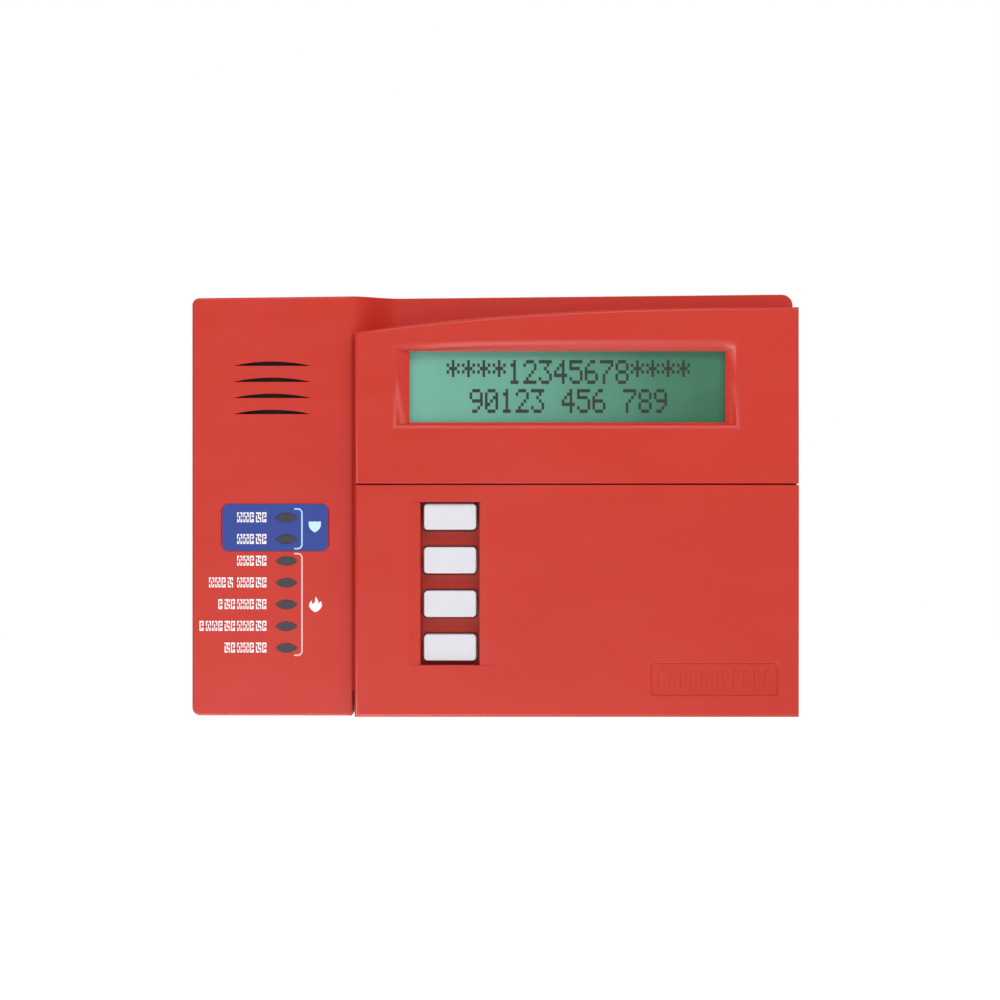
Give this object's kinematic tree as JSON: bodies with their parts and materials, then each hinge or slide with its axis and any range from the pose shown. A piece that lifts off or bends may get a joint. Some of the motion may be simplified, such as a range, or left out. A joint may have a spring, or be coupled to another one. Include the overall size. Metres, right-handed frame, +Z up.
{
  "type": "fire alarm keypad annunciator",
  "caption": "Wall-mounted fire alarm keypad and annunciator: red case, text display, status lights, sounder slots and a flip-down door over the keys.",
  "frame": {"origin": "centre of the back face, which lies on the wall, and of the wall screw pattern", "axes": "+X to the right seen from the front, +Y into the wall, +Z up; the front looks along -Y"},
  "size_m": [0.188, 0.031, 0.1318],
  "materials": {
    "red_plastic": "satin moulded red ABS with a very fine spark texture",
    "rear_plastic": "moulded red ABS, slightly duller than the front",
    "key_plastic": "smooth off-white key caps, slightly translucent at the rim",
    "clear_plastic": "clear polished acrylic",
    "display_glass": "grey-green liquid crystal glass with dark characters",
    "white_plastic": "white diffuser plastic",
    "tinned_steel": "thin tinned sheet",
    "pink_rubber": "silicone contact strip",
    "green_board": "solder mask over glass fibre board",
    "black_plastic": "moulded black plastic",
    "capacitor_sleeve": "dark blue shrink sleeve",
    "led_plastic": "milky light-emitting package",
    "smoked_plastic": "dark smoked light guide",
    "blue_label": "blue printed film",
    "brass_disc": "thin brass sounder disc",
    "black_foam": "closed-cell foam",
    "grey_rubber": "translucent grey silicone rubber",
    "green_plastic": "moulded green terminal housing",
    "steel_screw": "zinc-plated steel",
    "ivory_plastic": "moulded acetal",
    "card_paper": "blank coated card"
  },
  "bodies": {
    "case": {"rear_case": "rear_plastic", "front_case": "red_plastic", "display_window": "clear_plastic", "lcd_bezel": "tinned_steel", "lcd_glass": "display_glass", "lcd_backlight": "white_plastic", "lcd_contact_strips": "pink_rubber", "main_board": "green_board", "processor_chip": "black_plastic", "driver_chips": "black_plastic", "display_chips": "black_plastic", "capacitors": "capacitor_sleeve", "voltage_regulator": "black_plastic", "crystal": "tinned_steel", "key_lights": "led_plastic", "status_leds": "led_plastic", "light_shroud": "black_plastic", "status_lenses": "smoked_plastic", "status_label": "blue_label", "sounder_housing": "black_plastic", "sounder_disc": "brass_disc", "sounder_gasket": "black_foam", "keypad_mat": "grey_rubber", "terminal_block": "green_plastic", "terminal_clamps": "tinned_steel", "terminal_screws": "steel_screw", "tamper_housing": "black_plastic", "tamper_spring": "steel_screw", "board_screws": "steel_screw", "case_screw": "steel_screw", "rating_label": "card_paper"},
    "door": {"door": "red_plastic", "door_card": "card_paper"},
    "tamper_plunger": {"tamper_plunger": "ivory_plastic"},
    "function_key_1": {"function_key_1": "key_plastic"},
    "function_key_2": {"function_key_2": "key_plastic"},
    "function_key_3": {"function_key_3": "key_plastic"},
    "function_key_4": {"function_key_4": "key_plastic"},
    "number_key_1": {"number_key_1": "key_plastic"},
    "number_key_2": {"number_key_2": "key_plastic"},
    "number_key_3": {"number_key_3": "key_plastic"},
    "number_key_4": {"number_key_4": "key_plastic"},
    "number_key_5": {"number_key_5": "key_plastic"},
    "number_key_6": {"number_key_6": "key_plastic"},
    "number_key_7": {"number_key_7": "key_plastic"},
    "number_key_8": {"number_key_8": "key_plastic"},
    "number_key_9": {"number_key_9": "key_plastic"},
    "star_key": {"star_key": "key_plastic"},
    "number_key_0": {"number_key_0": "key_plastic"},
    "hash_key": {"hash_key": "key_plastic"}
  },
  "joints": [
    {"name": "door_hinge", "type": "hinge", "parent": "case", "child": "door", "pos_m": [0, -0.0264, -0.06185], "axis": [1, 0, 0], "range_deg": [0, 140]},
    {"name": "function_key_1_press", "type": "slide", "parent": "case", "child": "function_key_1", "axis": [0, 1, 0], "range_m": [0, 0.001], "stiffness_N_per_m": 900, "springref_m": -0.0003},
    {"name": "function_key_2_press", "type": "slide", "parent": "case", "child": "function_key_2", "axis": [0, 1, 0], "range_m": [0, 0.001], "stiffness_N_per_m": 900, "springref_m": -0.0003},
    {"name": "function_key_3_press", "type": "slide", "parent": "case", "child": "function_key_3", "axis": [0, 1, 0], "range_m": [0, 0.001], "stiffness_N_per_m": 900, "springref_m": -0.0003},
    {"name": "function_key_4_press", "type": "slide", "parent": "case", "child": "function_key_4", "axis": [0, 1, 0], "range_m": [0, 0.001], "stiffness_N_per_m": 900, "springref_m": -0.0003},
    {"name": "number_key_1_press", "type": "slide", "parent": "case", "child": "number_key_1", "axis": [0, 1, 0], "range_m": [0, 0.001], "stiffness_N_per_m": 900, "springref_m": -0.0003},
    {"name": "number_key_2_press", "type": "slide", "parent": "case", "child": "number_key_2", "axis": [0, 1, 0], "range_m": [0, 0.001], "stiffness_N_per_m": 900, "springref_m": -0.0003},
    {"name": "number_key_3_press", "type": "slide", "parent": "case", "child": "number_key_3", "axis": [0, 1, 0], "range_m": [0, 0.001], "stiffness_N_per_m": 900, "springref_m": -0.0003},
    {"name": "number_key_4_press", "type": "slide", "parent": "case", "child": "number_key_4", "axis": [0, 1, 0], "range_m": [0, 0.001], "stiffness_N_per_m": 900, "springref_m": -0.0003},
    {"name": "number_key_5_press", "type": "slide", "parent": "case", "child": "number_key_5", "axis": [0, 1, 0], "range_m": [0, 0.001], "stiffness_N_per_m": 900, "springref_m": -0.0003},
    {"name": "number_key_6_press", "type": "slide", "parent": "case", "child": "number_key_6", "axis": [0, 1, 0], "range_m": [0, 0.001], "stiffness_N_per_m": 900, "springref_m": -0.0003},
    {"name": "number_key_7_press", "type": "slide", "parent": "case", "child": "number_key_7", "axis": [0, 1, 0], "range_m": [0, 0.001], "stiffness_N_per_m": 900, "springref_m": -0.0003},
    {"name": "number_key_8_press", "type": "slide", "parent": "case", "child": "number_key_8", "axis": [0, 1, 0], "range_m": [0, 0.001], "stiffness_N_per_m": 900, "springref_m": -0.0003},
    {"name": "number_key_9_press", "type": "slide", "parent": "case", "child": "number_key_9", "axis": [0, 1, 0], "range_m": [0, 0.001], "stiffness_N_per_m": 900, "springref_m": -0.0003},
    {"name": "star_key_press", "type": "slide", "parent": "case", "child": "star_key", "axis": [0, 1, 0], "range_m": [0, 0.001], "stiffness_N_per_m": 900, "springref_m": -0.0003},
    {"name": "number_key_0_press", "type": "slide", "parent": "case", "child": "number_key_0", "axis": [0, 1, 0], "range_m": [0, 0.001], "stiffness_N_per_m": 900, "springref_m": -0.0003},
    {"name": "hash_key_press", "type": "slide", "parent": "case", "child": "hash_key", "axis": [0, 1, 0], "range_m": [0, 0.001], "stiffness_N_per_m": 900, "springref_m": -0.0003},
    {"name": "tamper_slide", "type": "slide", "parent": "case", "child": "tamper_plunger", "axis": [0, 1, 0], "range_m": [0, 0.002]}
  ]
}
